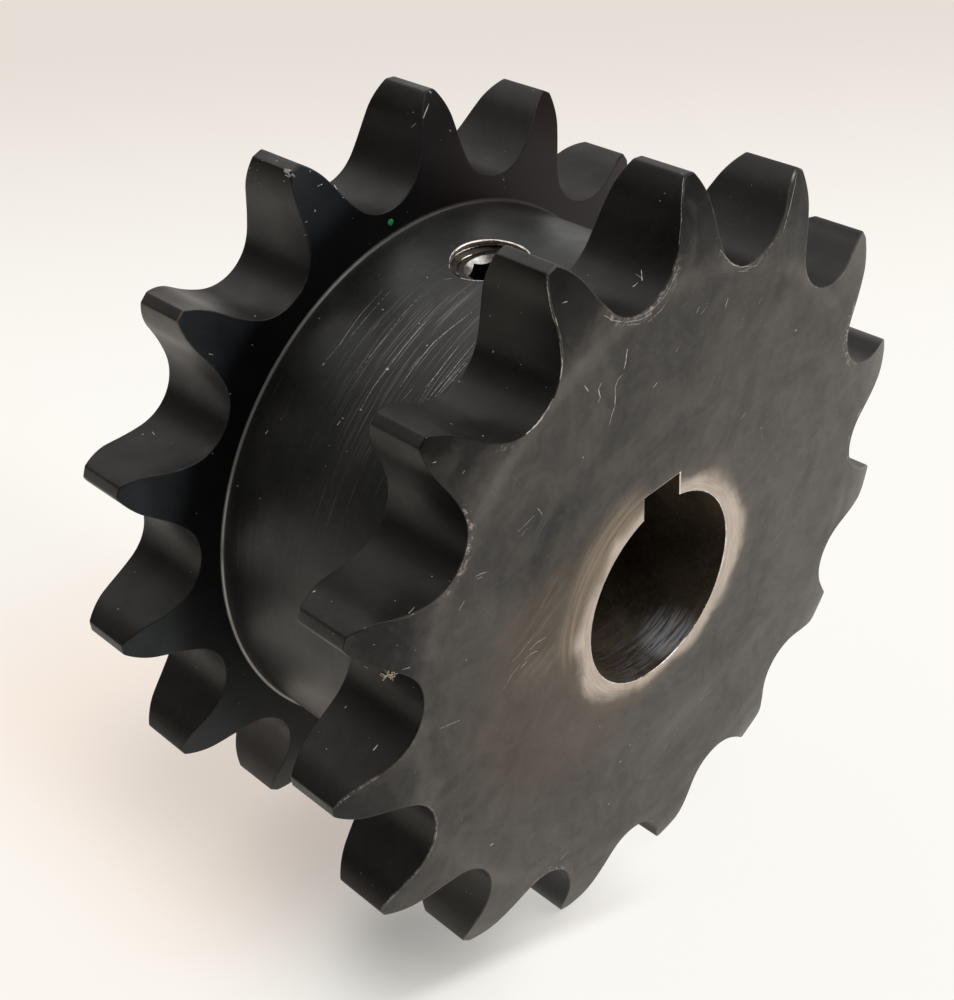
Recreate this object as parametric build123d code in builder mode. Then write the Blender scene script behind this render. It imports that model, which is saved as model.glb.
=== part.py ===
from build123d import *
import os
from math import asin, cos, degrees, radians, sin, sqrt, tan

# Double single chain sprocket: two like rims of teeth on one hub, each for its own strand of roller chain.
# Sizes are in millimetres. The bore runs along Y with its middle at the origin. The front face looks to -Y.
# Z is up through the middle of a tooth, and X is to the right as seen from the front.
# Angles are in degrees, anticlockwise from straight up as seen from the front.

# Chain and teeth: roller chain of 3/4 in pitch, ANSI number 60
chain_pitch = 19.05
roller_diameter = 11.91
tooth_count = 15
rim_thickness = 11.66
strand_spacing = 38.1
seat_allowance = 0.0762
tip_land = 1.4
relief_height = 9.525
relief_depth = 2.38

# Hub
hub_diameter = 73.0
hub_corner_chamfer = 0.8

# Bore and keyway
bore_diameter = 25.4
keyway_width = 6.35
keyway_side_depth = 3.175
keyway_angle = 7.5

# Set screws of 3/8-16 UNC thread, drawn at the pitch diameter of the thread
thread_diameter = 9.525
thread_pitch = 1.5875
thread_clearance = 0.03
hole_mouth_flare = 0.45
hole_mouth_angle = 90
screw_length = 19.05
screw_recess = 1.25
screw_top_chamfer = 0.35
socket_width = 4.7625
socket_depth = 4.8
socket_flare_radius = 3.1
cup_diameter = 5.3
cup_angle = 118
keyway_screw_turn = 1.0
side_screw_turn = -90

# Turned blank
half_length = (strand_spacing + rim_thickness) / 2
hub_radius = hub_diameter / 2
bore_radius = bore_diameter / 2
half_tooth_turn = 180 / tooth_count
pitch_radius = chain_pitch / 2 / sin(radians(half_tooth_turn))
outside_radius = chain_pitch / 2 * (0.6 + 1 / tan(radians(half_tooth_turn)))
relief_start_radius = outside_radius - relief_height
corner_chamfer = min(hub_corner_chamfer, (relief_start_radius - hub_radius) / 2)
keyway_floor = sqrt(bore_radius**2 - (keyway_width / 2) ** 2) + keyway_side_depth

# Tooth form. The factors and angles are those of the chain standard, ANSI B29.1, for any number of teeth.
# The cut between two teeth runs past the blank by the cutter margin.
seat_radius = (1.005 * roller_diameter + seat_allowance) / 2
seat_half_angle = 35 + 60 / tooth_count
working_angle = 18 - 56 / tooth_count
topping_angle = 17 - 64 / tooth_count
flank_angle = seat_half_angle - working_angle
working_offset = 0.8 * roller_diameter
topping_offset = 1.4 * roller_diameter
working_radius = working_offset + seat_radius
flank_length = topping_offset * sin(radians(topping_angle)) - working_offset * sin(radians(working_angle))
tip_half_turn = degrees(asin(tip_land / 2 / outside_radius))
cutter_margin = 1.0
cutter_radius = outside_radius + cutter_margin

# Tapped holes and set screws. On each side of its pitch line, a unified thread is three eighths of its sharp
# height deep.
thread_depth = sqrt(3) / 2 * thread_pitch * 3 / 8
thread_radius = thread_diameter / 2 - thread_depth
screw_radius = thread_radius - thread_clearance
cup_radius = cup_diameter / 2


def offset_point(start, distance, angle):
    """Point in a sketch at a distance from another, at an angle anticlockwise from the sketch's x axis."""
    return start + Vector(distance, 0).rotate(Axis.Z, angle)


def radial_plane(angle, radius):
    """Plane square to a radius of the hub at mid-length, its x axis along the bore and its z outwards."""
    outwards = Vector(-sin(radians(angle)), 0, cos(radians(angle)))
    return Plane(origin=outwards * radius, x_dir=(0, 1, 0), z_dir=outwards)


screw_angles = {
    "keyway_set_screw": keyway_angle + keyway_screw_turn,
    "side_set_screw": keyway_angle + side_screw_turn,
}

# One space between two teeth, about the y axis: the roller seat, and on each side a working curve, a short
# flat and a topping curve up to the tip, then straight out past the blank.
bore_centre = Vector(0, 0)
seat_centre = Vector(0, pitch_radius)
working_centre = offset_point(seat_centre, working_offset, 180 - seat_half_angle)
tip_bearing = 90 - half_tooth_turn + tip_half_turn
tip_corner = offset_point(bore_centre, outside_radius, tip_bearing)
with BuildSketch() as tooth_space:
    with BuildLine():
        working_curve = CenterArc(working_centre, working_radius, -seat_half_angle, working_angle)
        flank = PolarLine(working_curve @ 1, flank_length, 90 - flank_angle)
        topping_curve = TangentArc(flank @ 1, tip_corner, tangent=flank % 1)
        PolarLine(topping_curve @ 1, cutter_margin, tip_bearing)
        mirror(about=Plane.YZ)
        CenterArc(seat_centre, seat_radius, seat_half_angle - 180, 180 - 2 * seat_half_angle)
        CenterArc(bore_centre, cutter_radius, tip_bearing, 180 - 2 * tip_bearing)
    make_face()

# Half section of one rim, from the middle of the hub out to the tips. The relief of each side bends away
# from the flat with no corner.
with BuildSketch() as rim_section:
    with BuildLine():
        side = Line((rim_thickness / 2, 0), (rim_thickness / 2, relief_start_radius))
        relief_end = Vector(rim_thickness / 2 - relief_depth, outside_radius)
        Bezier(side @ 1, side @ 1 + side % 1 * relief_height / 2, relief_end)
        Line(relief_end, (0, outside_radius))
        Line(side @ 0, (0, 0))
        mirror(about=Plane.YZ)
    make_face()

with BuildPart() as sprocket_body:
    # Turned blank: a small chamfer eases each corner between the hub and the inner face of a rim.
    with BuildSketch(Plane.YZ):
        with Locations((-strand_spacing / 2, 0), (strand_spacing / 2, 0)):
            add(rim_section.sketch)
        Rectangle(strand_spacing, hub_radius, align=(Align.CENTER, Align.MIN))
        inner_corners = vertices().filter_by_position(Axis.Y, hub_radius, hub_radius)
        chamfer(inner_corners, corner_chamfer)
    revolve(axis=Axis.Y)

    # The teeth of both rims are in line, so one cut makes each pair of spaces.
    with BuildSketch(Plane.XZ):
        with PolarLocations(0, tooth_count, start_angle=half_tooth_turn):
            add(tooth_space.sketch)
    extrude(amount=half_length, both=True, mode=Mode.SUBTRACT)

    # Bore with one square keyway.
    with BuildSketch(Plane.XZ):
        Circle(bore_radius)
        Rectangle(keyway_width, keyway_floor, rotation=keyway_angle, align=(Align.CENTER, Align.MIN))
    extrude(amount=half_length, both=True, mode=Mode.SUBTRACT)

    # Tapped holes from the hub into the keyway and into the bore.
    for angle in screw_angles.values():
        with Locations(radial_plane(angle, hub_radius)):
            CounterSinkHole(
                thread_radius,
                thread_radius + hole_mouth_flare,
                depth=hub_radius,
                counter_sink_angle=hole_mouth_angle,
            )

# Socket set screw, upright with its top at the origin: cup point below and hexagon socket above.
with BuildPart() as set_screw:
    with BuildSketch(Plane.XZ):
        with BuildLine():
            Polyline(
                (0, 0),
                (screw_radius - screw_top_chamfer, 0),
                (screw_radius, -screw_top_chamfer),
                (screw_radius, screw_radius - cup_radius - screw_length),
                (cup_radius, -screw_length),
                (0, cup_radius / tan(radians(cup_angle / 2)) - screw_length),
                close=True,
            )
        make_face()
    revolve(axis=Axis.Z)
    with BuildSketch():
        RegularPolygon(socket_width / 2, side_count=6, major_radius=False)
    extrude(amount=-socket_depth, mode=Mode.SUBTRACT)
    Cone(
        bottom_radius=0,
        top_radius=socket_flare_radius,
        height=socket_flare_radius,
        align=(Align.CENTER, Align.CENTER, Align.MAX),
        mode=Mode.SUBTRACT,
    )

os.makedirs("parts", exist_ok=True)
sprocket_body.part.label = "sprocket_body"
export_step(sprocket_body.part, "parts/sprocket_body.step")
for name, angle in screw_angles.items():
    with BuildPart(radial_plane(angle, hub_radius - screw_recess)) as placed_screw:
        add(set_screw.part)
    placed_screw.part.label = name
    export_step(placed_screw.part, f"parts/{name}.step")
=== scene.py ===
from math import asin, atan2, ceil, cos, hypot, pi, radians, sin, sqrt, tan
from random import Random
from types import SimpleNamespace

import bmesh
import bpy
from bpy.props import FloatProperty, FloatVectorProperty, IntProperty, PointerProperty
from mathutils import Euler, Matrix, Vector
from mathutils.bvhtree import BVHTree


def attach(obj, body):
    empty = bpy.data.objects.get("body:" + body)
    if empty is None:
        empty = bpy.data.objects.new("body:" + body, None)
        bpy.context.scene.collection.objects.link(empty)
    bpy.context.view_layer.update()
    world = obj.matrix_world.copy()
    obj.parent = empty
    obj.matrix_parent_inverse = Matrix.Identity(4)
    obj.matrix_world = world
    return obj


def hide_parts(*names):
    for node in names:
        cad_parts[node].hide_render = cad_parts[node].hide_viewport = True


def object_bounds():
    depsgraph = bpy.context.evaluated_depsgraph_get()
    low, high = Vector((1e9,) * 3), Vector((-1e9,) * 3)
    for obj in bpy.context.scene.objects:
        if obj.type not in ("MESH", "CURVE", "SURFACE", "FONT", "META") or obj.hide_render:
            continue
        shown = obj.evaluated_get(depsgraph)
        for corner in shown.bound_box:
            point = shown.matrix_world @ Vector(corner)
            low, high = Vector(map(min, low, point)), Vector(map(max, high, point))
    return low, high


bl_info = {
    "name": "Double single chain sprocket",
    "version": (1, 0, 0),
    "blender": (4, 5, 0),
    "location": "View3D > Sidebar > Sprocket",
    "description": "Dresses a black oxide chain sprocket with its worn finishes, threads and set screws",
    "category": "Object",
}

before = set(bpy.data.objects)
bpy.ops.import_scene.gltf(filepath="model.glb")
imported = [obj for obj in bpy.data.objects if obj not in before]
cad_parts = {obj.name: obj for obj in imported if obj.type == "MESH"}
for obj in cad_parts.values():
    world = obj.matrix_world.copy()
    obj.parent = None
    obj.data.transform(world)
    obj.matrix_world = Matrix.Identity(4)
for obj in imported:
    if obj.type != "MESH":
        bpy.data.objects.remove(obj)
CAD_LOW, CAD_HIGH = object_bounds()

MM = 0.001
FULL_TURN = 2 * pi

# Steps along the curves of a tooth and round the turned shapes
SEAT_STEPS = 10
WORKING_STEPS = 6
TOPPING_STEPS = 8
FILLET_STEPS = 6
BORE_STEPS = 160
THREAD_STEPS = 64
# Places of the vertices from the edge of a tooth to its middle, as shares of that way
SIDE_SHARES = (0, 0.04, 0.11, 0.2, 0.33, 0.5, 0.72, 1)
BREAK_SHARES = (0, 1 / 3, 2 / 3)
# Rows of the vertices inside a tooth's wall, in millimetres from its break
WALL_ROWS = (0.25, 0.8, 1.8)
# How far from an edge its wear reaches, in millimetres
WEAR_REACH = 1.6
# Millimetres within which two vertices are one, and within which a face lies on a turned surface
WELD = 0.002
ON_SURFACE = 0.01
# How far a cutter goes past what it cuts, in millimetres
CUT_PAST = 2
# Faces that meet at more than this keep a crisp edge between them
SHARP_ANGLE = radians(32)
# Turn of the hexagon sockets, which puts a corner along the bore
SOCKET_TURN = radians(30)
# Faces round a socket that lean this much towards the end of the screw are its flare
FLARE_LEAN = (0.4, 0.9)
# How much a face points along the bore, from 0 to 1, to be a side of a rim, and at most on a wall or a tip
SIDE_LEAN = 0.8
WALL_LEAN = 0.98
TIP_LEAN = 0.1
# Longest step of a mark, the share of its strand's radius that it is wide, and how deep the strand sits
MARK_STEP = 0.7
MARK_SHARE = 1.2
MARK_DEPTH = 0.8
# Half the width of the floor, in metres
FLOOR_REACH = 2
# Lamps: name, place and size in metres, and how bright their faces are, where 1 is white
LAMPS = (
    ("front_lamp", (0.47, -0.66, 1.26), (1.5, 1.5), 2.5),
    ("rear_lamp", (0.2, 0.82, 1.24), (1.6, 1.6), 1.2),
    ("low_lamp", (1.3, 0.7, 0.3), (1.2, 0.8), 0.8),
    ("left_lamp", (-0.72, 0.7, 0.85), (0.9, 0.9), 0.4),
)
# Finishes of the body, in the order of its material slots
ZONES = ("teeth", "tip_lands", "outer_faces", "inner_faces", "hub", "bore", "threads", "bare_edges")

# Scratches in the front end face: their width, then their places as (x, z), in millimetres
FACE_MARKS = (
    (0.16, (-10.8, 35.4), (-10.9, 34.6), (-10.9, 33.9), (-11.1, 33.2)),
    (0.18, (-11.2, 32.6), (-11.9, 32.3), (-12.3, 31.5), (-12.1, 30.3), (-12.1, 29.1),
     (-12.4, 28.5), (-12.7, 27.3)),
    (0.22, (-14.6, 32.9), (-15, 32.2), (-14.6, 31.2), (-14.9, 30.7)), (0.24, (-17.3, 33.5), (-16.6, 32.6)),
    (0.14, (-5.1, 29.5), (-5.8, 29.1)), (0.14, (0.6, 35.8), (1, 36.4)), (0.12, (1.4, 35.3), (2.4, 36)),
    (0.14, (5.9, 34.8), (6.2, 35.8)), (0.14, (12.3, 33.2), (13, 33.7)), (0.4, (21, 27), (21.3, 27.1)),
    (0.16, (-32.4, 17.3), (-31.6, 17.3), (-30.8, 17.1)), (0.1, (-32.2, 16.9), (-31.4, 16.8)),
    (0.14, (-34.7, 14.2), (-33.9, 15.1)), (0.2, (-23.5, 3.2), (-22.4, 3.6), (-20.8, 3.6)),
    (0.16, (-24.1, 2.3), (-22.9, 2.5), (-22, 2.3)), (0.18, (-24.7, 1.4), (-23.8, 1.8)),
    (0.12, (-26.3, 3), (-24.5, 3.8), (-22.7, 5)), (0.12, (-27.5, -0.2), (-26.3, 1.1), (-24.9, 2)),
    (0.12, (-26.3, 20), (-25.1, 20.4), (-23.8, 20.9)), (0.12, (-25.7, 19.2), (-24.9, 19.8)),
    (0.1, (-23.4, 21.6), (-22.6, 20.4)), (0.45, (-4.8, -24.9), (-4.4, -24.9)),
    (0.3, (-6.2, -31.4), (-5.9, -31.3)), (0.25, (-2.9, -23.2), (-2.7, -23.1)),
    (0.5, (-28.7, -23.2), (-28.1, -23.3)), (0.12, (-37.2, 0), (-35.7, -0.3), (-34.2, -0.6)),
    (0.1, (-20.4, 43.3), (-19.7, 43.3)), (0.12, (-21.3, 41.2), (-21.5, 42.2)),
    (0.1, (-2.3, 32.2), (-1.9, 32.7)), (0.1, (12, 18.5), (13, 19.2)), (0.1, (24.3, -4), (25.9, -3.2)),
    (0.12, (11.9, -24.1), (14.5, -23.8)), (0.1, (-15.3, -35.1), (-13.6, -34.5)),
)
# Scratches and specks on the hub: their width, then their places, in millimetres
HUB_MARKS = (
    (0.046, (-20.8, -1.4, 30), (-18.8, -1.4, 31.3), (-16.9, -1.4, 32.4)),
    (0.061, (-23.6, -4.4, 27.8), (-21.2, -4.4, 29.7), (-18.5, -4.4, 31.4), (-16.2, -4.9, 32.7),
     (-13.7, -5.4, 33.8)),
    (0.055, (-23.4, -7.7, 28), (-21.9, -7.6, 29.2), (-20.5, -7.6, 30.2), (-17.7, -7.5, 31.9)),
    (0.065, (-23.6, -8.6, 27.9), (-20.9, -9, 29.9), (-18.8, -9, 31.3), (-16.7, -8.9, 32.4)),
    (0.046, (-23.4, -9.2, 28), (-21.3, -9.4, 29.6), (-19.2, -9.7, 31.1)),
    (0.055, (-22.8, -9.6, 28.5), (-21, -9.9, 29.8), (-19, -10, 31.2)),
    (0.055, (-24.8, 7, 26.8), (-22.6, 6.6, 28.7), (-19.4, 6.9, 30.9), (-15.4, 7, 33.1)),
    (0.042, (-24.5, 1.9, 27), (-20.3, 1.7, 30.3), (-17.4, 1.9, 32.1), (-14.2, 2, 33.6)),
    (0.061, (-26.7, -1.3, 24.9), (-24.7, -1.2, 26.9), (-22.4, -1.4, 28.8), (-17.4, -1.4, 32.1)),
    (0.042, (-21.4, 6, 29.5), (-19, 5.9, 31.2), (-15.5, 6, 33.1)),
    (0.038, (-20.4, 3.9, 30.3), (-19, 3.8, 31.2)), (0.038, (-22.1, -4.1, 29), (-20.4, -4.2, 30.3)),
    (0.038, (-24.4, -5.8, 27.2), (-23, -6, 28.3)), (0.042, (-22.6, -7.4, 28.6), (-20.8, -7.7, 30)),
    (0.074, (-11.2, 1.5, 34.7), (-10.6, 0.8, 34.9)), (0.5, (-22.8, -1.4, 28.5), (-22.6, -1.4, 28.6)),
    (0.4, (-26.7, -1.3, 24.9), (-26.6, -1.3, 25)), (0.4, (-27.8, 0.4, 23.6), (-27.8, 0.4, 23.7)),
    (0.3, (-21.3, 11.7, 29.7), (-21.2, 11.7, 29.7)), (0.3, (-17.7, 4.8, 31.9), (-17.6, 4.8, 32)),
    (0.3, (-17.4, -0.9, 32.1), (-17.3, -0.8, 32.1)), (0.3, (-29.7, -2.3, 21.3), (-29.6, -2.3, 21.3)),
    (0.25, (-28.4, 0.7, 22.9), (-28.1, 0.5, 23.4)), (0.2, (-24.9, 7, 26.7), (-24.7, 7, 26.9)),
    (0.2, (-31.2, 10.2, 19), (-30.9, 10, 19.4)), (0.25, (-34.3, 12.1, 12.4), (-34.3, 12, 12.6)),
    (0.2, (-29.9, 8.8, 21), (-29.8, 8.8, 21)), (0.2, (-34.3, 8, 12.6), (-34.2, 7.9, 12.7)),
)
# Burrs and knocks along the edges of the teeth, in the same form
BURRS = (
    (0.2, (-8.9, 2, 34.8), (-9.3, 1.3, 34.8), (-8, 2.1, 34.4), (-8.4, 1.3, 34.4)),
    (0.12, (-40, -23.9, 16.8), (-40.5, -24.1, 16.8), (-41, -24.2, 16.8), (-41, -24.6, 16.7),
     (-40.7, -24.6, 16.7)),
    (0.16, (-39.6, -15.6, 4.4), (-39.6, -16.3, 4.5)),
    (0.16, (-42.4, -24.7, 10.7), (-41.9, -24.7, 10.6), (-41.4, -24.8, 10.5)),
    (0.5, (-21.2, 16.9, 45.8), (-21.2, 16.1, 45.7), (-21.2, 15.5, 45.5), (-20.9, 15.3, 45.3)),
    (0.4, (-21.5, 16.5, 45.4), (-21.2, 15.9, 45.3), (-20.9, 15.4, 45)),
    (0.3, (-21.3, 16, 46), (-20.7, 15.6, 45.7)),
    (0.2, (-20.7, 18.9, 46.1), (-20.5, 18.8, 46.2)), (0.25, (-0.2, 15.6, 50.5), (0.1, 15.4, 50.2)),
    (0.14, (-2.4, 14.5, 47.6), (-1.7, 14.6, 48.3), (-0.7, 15, 49.2)),
    (0.16, (-2.6, 16, 46.6), (-2.5, 15.3, 47.2)), (0.2, (-2.2, 16.2, 48.2), (-2.2, 16.1, 48.3)),
    (0.14, (1.6, 13.9, 45.9), (1.8, 13.8, 45.7)),
    (0.14, (-21, 14.2, 38.9), (-21, 13.7, 39.1), (-20.7, 13.5, 39.4)),
    (0.14, (-21, 13.8, 40.5), (-20.7, 13.8, 40.6)), (0.2, (-19.6, 13.8, 41.4), (-19.4, 13.8, 41.5)),
    (0.12, (-18.5, 14.4, 43.9), (-17.9, 14.3, 44)), (0.12, (-8.1, 23.8, 39), (-8.7, 22.6, 38.9)),
    (0.12, (-15.6, 13.6, 42.1), (-15.2, 13.6, 42.1)), (0.16, (-35.4, 13.9, 29.2), (-35, 13.7, 29)),
    (0.14, (-35.5, 13.8, 27.8), (-35.1, 13.6, 27.7)), (0.16, (-38.4, 22.5, 17), (-38.6, 21.7, 17)),
    (0.2, (-39.4, 23.1, 16.9), (-39.4, 22.9, 16.9)), (0.25, (-28.3, 14.5, 31.2), (-28.1, 14.7, 31.2)),
    (0.2, (-36.6, 13.2, 17.2), (-36.5, 13.2, 17.3)), (0.2, (-33.5, 13.2, 23.8), (-33.4, 13.2, 23.8)),
    (0.2, (10.5, 13.2, 37.8), (10.7, 13.2, 37.8)), (0.12, (-5.2, -20.8, 40.6), (-5.4, -21.9, 40.5)),
    (0.12, (-4.8, -21.1, 41.1), (-5.5, -21.9, 40.3)), (0.12, (-6.3, -21.4, 39.7), (-5.8, -21.6, 40.1)),
    (0.2, (-6.9, -15.7, 39.4), (-6.8, -15.8, 39.4)), (0.16, (-21.2, -15.7, 35.2), (-21.2, -15.8, 35.4)),
    (0.16, (-21, -14.9, 38.9), (-21, -15.1, 39)), (0.18, (-30.9, -19.4, 32.1), (-30.6, -19.5, 32)),
    (0.16, (-29.6, -22.6, 31.6), (-29.6, -22.8, 31.6)), (0.16, (-22.6, -19, 32.9), (-22.5, -19.1, 33)),
    (0.14, (-37, -23.3, 31.8), (-36.6, -23.4, 31.8)), (0.14, (-34.1, -24.4, 29.9), (-33.8, -24.4, 30.1)),
    (0.2, (-36.3, -22.5, 18), (-36.2, -22.5, 18)), (0.16, (-40.7, -21.8, 16.8), (-40.6, -21.8, 16.8)),
    (0.16, (-45.7, -15.2, 16.9), (-45.4, -15.2, 16.9)), (0.16, (-45.3, -23.7, 14.8), (-45.2, -23.8, 14.8)),
    (0.16, (-42.9, -24.4, 13.8), (-42.8, -24.5, 13.9)), (0.16, (-42.1, -15.2, -0.2), (-41.9, -15.3, 0)),
    (0.16, (-43.8, -21.6, -1.1), (-43.2, -21.6, -0.8)), (0.2, (-46.5, -17.1, -2.2), (-46.4, -17.1, -2.2)),
    (0.14, (-39.7, -23.4, 6.1), (-39.8, -23.6, 6.4)),
    (0.14, (-14.9, -24.8, 40.4), (-13.7, -24.9, 39.5), (-12.1, -24.9, 38.8)),
    (0.16, (-11.6, -24.9, 38.6), (-9.2, -24.9, 38.1), (-7.3, -24.9, 38.2)),
    (0.12, (-9.2, -24.9, 38.5), (-7, -24.9, 38.7), (-5.5, -24.9, 39.5)),
    (0.1, (-7.8, -24.9, 37.4), (-5.9, -24.9, 38), (-4.7, -24.9, 38.9)),
    (0.14, (-5.8, -24.9, 39.2), (-4.6, -24.9, 40.2), (-4, -24.9, 41.4)),
    (0.1, (-4.8, -24.9, 39.4), (-4, -24.9, 40.3), (-3.2, -24.9, 41.5)),
    (0.1, (-6.7, -24.9, 37.7), (-5.3, -24.9, 38.4)), (0.1, (-4.2, -24.9, 39.6), (-3.5, -24.9, 40.4)),
    (0.1, (-11.1, -24.9, 38.1), (-8.9, -24.9, 37.6)),
    (0.14, (3.6, -24.8, 42), (4.8, -24.9, 40.8), (6.7, -24.9, 39.6)),
    (0.14, (5.3, -24.9, 40.2), (7.7, -24.9, 38.9), (10, -24.9, 38.4)),
    (0.1, (8.7, -24.9, 38.3), (10.9, -24.9, 38.2), (11.7, -24.9, 38.8)),
    (0.1, (7.4, -24.9, 38.5), (9.3, -24.9, 38)),
    (0.12, (21.2, -24.9, 35.6), (22.8, -24.9, 33.6), (24.8, -24.9, 31.9)),
    (0.1, (29, -24.8, 30.9), (30.8, -24.6, 31.7)),
    (0.1, (19.7, -22.8, 46), (17.9, -23.7, 44.1), (16.5, -24.4, 42.3), (15.5, -24.7, 40.7)),
    (0.1, (-0.6, -21.8, 51.9), (-1.8, -23, 49.4), (-3, -24, 46.8), (-3.6, -24.5, 44.5)),
    (0.1, (-21.5, -24.5, 39.3), (-21.2, -24.8, 37.4), (-21.3, -24.9, 35.5)),
    (0.12, (-22.2, -24.9, 33.9), (-23.3, -24.9, 32.7), (-24.5, -24.9, 32.1), (-25.8, -24.9, 31.6)),
    (0.1, (-21.3, -22.6, 45.7), (-21.8, -23.3, 43.6), (-21.8, -24, 41.3)),
)
# Where the paint dot sits and its radius, in millimetres, and its shares of that along each axis
PAINT_DOT = ((-8.6, 13.2, 37.4), 0.45)
DOT_SHARES = (1, 0.16, 0.9)
# Where the lint sits and how far it reaches, in millimetres, and its strands
LINT = ((-44.0, -24.45, 10.8), 0.8)
LINT_SEED = 5
LINT_STRANDS = 14
# How far apart the strands start and how long their steps are, as shares of that reach
LINT_SPREAD = 0.3
LINT_STEP = 0.22
# Steps of a strand, its first radius in millimetres, and what each step takes off that
LINT_STEPS = 7
LINT_RADIUS = 0.055
LINT_TAPER = 0.005
# How far a strand may turn at each step, and the range of its first way along each axis
LINT_CURL = 1.3
LINT_WAYS = ((-1, 1), (-0.5, 0.1), (-0.6, 0.8))

# Colours of the finishes
# Black oxide made darker than the rest: painted shade on the inner sides of the rims and in the screws'
# sockets
OXIDE_PAINTED_SHADE = (0.0012, 0.0012, 0.0016)
EDGE_BRIGHT = (0.86, 0.82, 0.76)
GREEN_PAINT = (0.015, 0.24, 0.06)
GREEN_PAINT_BRIGHT = (0.0285, 0.456, 0.114)
FIBRE_DULL = (0.4125, 0.319, 0.209)
FIBRE_PALE = (0.9, 0.8, 0.66)

# ----------------------------------------------------------------------------------------------------------
# Sizes and settings


def length(name, description, millimetres):
    return FloatProperty(name=name, description=description, default=millimetres * MM, unit="LENGTH")


def angle(name, description, degrees):
    return FloatProperty(name=name, description=description, default=radians(degrees), subtype="ANGLE")


def colour(name, description, default):
    return FloatVectorProperty(name=name, description=description, default=default, size=3, subtype="COLOR")


class SprocketSizes(bpy.types.PropertyGroup):
    """Sizes of the body, as its solid has them"""

    tooth_count: IntProperty(name="Teeth", description="Teeth on each rim", default=15, min=9)
    chain_pitch: length("Chain pitch", "Pitch of the roller chain", 19.05)
    roller_diameter: length("Roller", "Diameter of the rollers of the chain", 11.91)
    rim_thickness: length("Rim thickness", "Width of one rim", 11.66)
    strand_spacing: length("Strand spacing", "Between the middles of the rims", 38.1)
    seat_allowance: length("Seat allowance", "Added to a roller's seat", 0.0762)
    tip_land: length("Tip land", "Width of the flat at the tip of a tooth", 1.4)
    relief_height: length("Relief height", "How far in from the tips the side relief starts", 9.525)
    relief_depth: length("Relief depth", "What the relief takes off each side at the tips", 2.38)
    hub_diameter: length("Hub diameter", "Diameter between the rims", 73.0)
    hub_fillet: length("Hub fillet", "Radius in the corner of hub and rim", 0.45)
    bore_diameter: length("Bore", "Diameter of the bore", 25.4)
    keyway_width: length("Keyway width", "Width of the keyway", 6.35)
    keyway_side_depth: length("Keyway depth", "Depth of the keyway at its side", 3.175)
    keyway_turn: angle("Keyway turn", "Anticlockwise from the top tooth, seen from the front", 7.5)
    edge_break: length("Edge break", "Width of the rounding on the edges of the teeth", 0.16)
    bore_break: length("Bore break", "Width of the rounding at the ends of the bore", 0.14)


class ScrewSizes(bpy.types.PropertyGroup):
    """Sizes of the tapped holes and their socket set screws"""

    thread_diameter: length("Thread diameter", "Outer diameter of the thread", 9.525)
    thread_pitch: length("Thread pitch", "Distance from turn to turn", 1.5875)
    thread_gap: length("Thread gap", "Between the threads of hole and screw", 0.05)
    mouth_radius: length("Mouth radius", "Radius of the flare at the mouth of a hole", 4.697)
    mouth_break: length("Mouth break", "Width of the rounding at the mouth of a hole", 0.12)
    screw_length: length("Length", "Length of a screw", 19.05)
    recess: length("Recess", "Depth of a screw's top below the hub", 1.25)
    top_chamfer: length("Top chamfer", "Chamfer round a screw's top", 0.7)
    socket_width: length("Socket width", "Width of the hexagon across flats", 4.7625)
    socket_depth: length("Socket depth", "Depth of the hexagon", 4.8)
    socket_flare: length("Socket flare", "Radius of the flare at the socket's mouth", 3.1)
    cup_diameter: length("Cup diameter", "Diameter of the cup point's rim", 5.3)
    cup_angle: angle("Cup angle", "Angle of the cup point", 118)
    keyway_screw_turn: angle("Keyway screw turn", "Anticlockwise from the keyway", 1)
    side_screw_turn: angle("Side screw turn", "Anticlockwise from the keyway", -90)


class FinishColours(bpy.types.PropertyGroup):
    """Colours of the finishes"""

    oxide_dark: colour("Oxide", "Black oxide in its dark clouds", (0.006, 0.0057, 0.0055))
    oxide_pale: colour("Pale oxide", "Black oxide in its pale clouds", (0.017, 0.0155, 0.014))
    oxide_blue: colour("Blue oxide", "Oxide on the relieved sides of the rims", (0.023, 0.027, 0.031))
    oxide_brown: colour("Brown oxide", "Oxide on the right of the inner sides", (0.02, 0.0085, 0.0065))
    warm_film: colour("Warm film", "Thin film round the bore and to its left", (0.2, 0.13, 0.07))
    brown_dark: colour("Brown film", "Thin oxide in the bore", (0.038, 0.028, 0.019))
    brown_film: colour("Pale brown film", "Thin oxide in the bore, in its pale clouds", (0.1, 0.077, 0.054))
    # Laid as real haze over the end faces, and also as painted sheen: towards their lower right and on the
    # rear rim's upper left teeth
    haze: colour("Haze", "Pale haze over the end faces", (0.3, 0.268, 0.238))
    brushed: colour("Brushed steel", "Oxide that is brushed through beside the bore", (0.37, 0.288, 0.212))
    bare_steel: colour("Bare steel", "Steel where nothing covers it", (0.68, 0.585, 0.51))
    worn_steel: colour("Worn steel", "Steel along the worn edges", (0.42, 0.4, 0.38))
    scratch: colour("Scratched steel", "Steel in the scratches and burrs", (0.68, 0.63, 0.58))
    bore_steel: colour("Bore steel", "Bright patch on the wall of the bore", (0.5, 0.5, 0.52))
    dust: colour("Dust", "Specks of dust", (0.45, 0.43, 0.4))


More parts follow.
